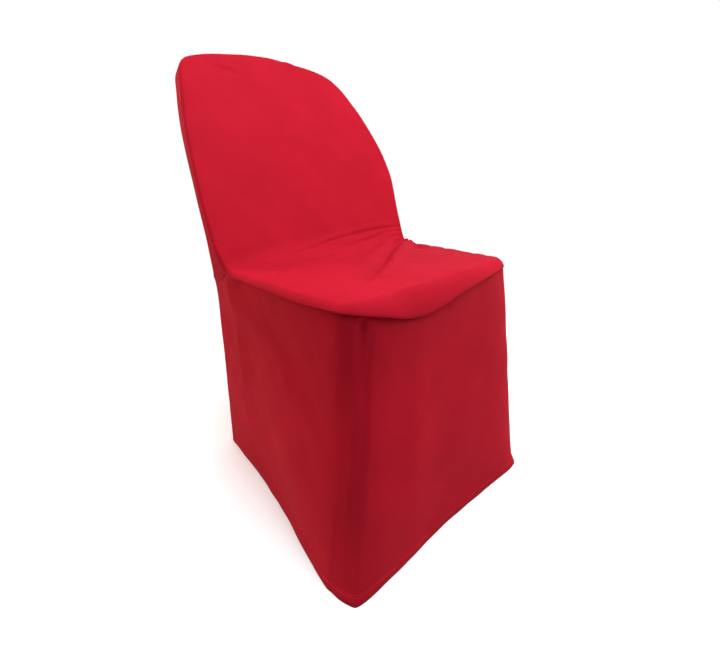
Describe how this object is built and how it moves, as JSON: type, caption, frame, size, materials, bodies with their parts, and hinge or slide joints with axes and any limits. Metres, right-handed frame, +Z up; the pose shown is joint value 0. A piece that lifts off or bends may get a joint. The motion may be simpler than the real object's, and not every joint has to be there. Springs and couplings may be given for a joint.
{
  "type": "chair cover",
  "caption": "Fitted stretch-knit cover for a folding chair: rounded leaning back, seat with a soft turned-down front, skirt falling to the floor.",
  "frame": {"origin": "under the cloth at the middle of the back's top, where the chair's back bears the cover", "axes": "+Z up, -Y towards the front of the seat, +X towards the sitter's left side, which is the picture's right"},
  "size_m": [0.464, 0.5402, 0.8306],
  "materials": {
    "front_panel_knit": "fine stretch knit with a slight sheen",
    "rear_panel_knit": "fine stretch knit with a slight sheen",
    "skirt_knit": "fine stretch knit with a slight sheen",
    "foot_sole_knit": "fine stretch knit, doubled"
  },
  "bodies": {
    "root": {"front_panel": "front_panel_knit", "rear_panel": "rear_panel_knit", "skirt": "skirt_knit", "foot_sole_near_front": "foot_sole_knit", "foot_sole_far_front": "foot_sole_knit", "foot_sole_near_rear": "foot_sole_knit", "foot_sole_far_rear": "foot_sole_knit"}
  },
  "joints": []
}
